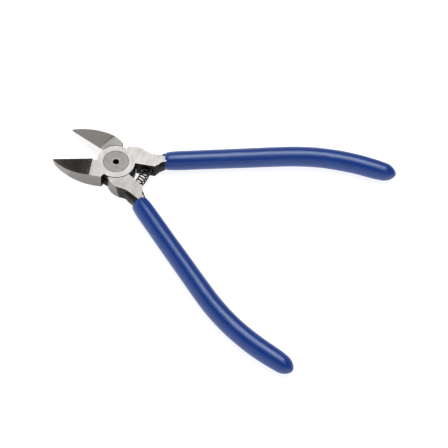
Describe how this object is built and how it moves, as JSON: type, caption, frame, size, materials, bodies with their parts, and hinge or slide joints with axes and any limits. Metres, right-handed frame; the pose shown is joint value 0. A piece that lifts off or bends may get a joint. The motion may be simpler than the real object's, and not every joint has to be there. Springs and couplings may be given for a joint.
{
  "type": "flush cut pliers",
  "caption": "Spring-opened flush cutting pliers with a lap joint, flush pivot rivet, sloping flush jaw faces and dipped grips on curved handles.",
  "frame": {"origin": "on the pivot axis, in the plane of the head's ground underside", "axes": "+X from the pivot towards the handle ends, midway between the two handles; +Z along the pivot axis, out of the flush side; +Y towards the front half's handle"},
  "size_m": [0.1696, 0.1416, 0.011],
  "materials": {
    "lever_steel": "ground satin faces, black forged sides",
    "rivet_steel": "ground satin",
    "spring_steel": "black, slightly oily",
    "grip_plastic": "glossy dipped soft plastic"
  },
  "bodies": {
    "rear_half": {"rear_lever": "lever_steel", "pivot_rivet": "rivet_steel", "rear_grip": "grip_plastic", "return_spring": "spring_steel"},
    "front_half": {"front_lever": "lever_steel", "front_grip": "grip_plastic"}
  },
  "joints": [
    {"name": "jaw_pivot", "type": "hinge", "parent": "rear_half", "child": "front_half", "pos_m": [0, 0, 0], "axis": [0, 0, 1], "range_deg": [-35.6, 8.5], "stiffness_Nm_per_rad": 1.5, "deforming": ["return_spring"]}
  ]
}
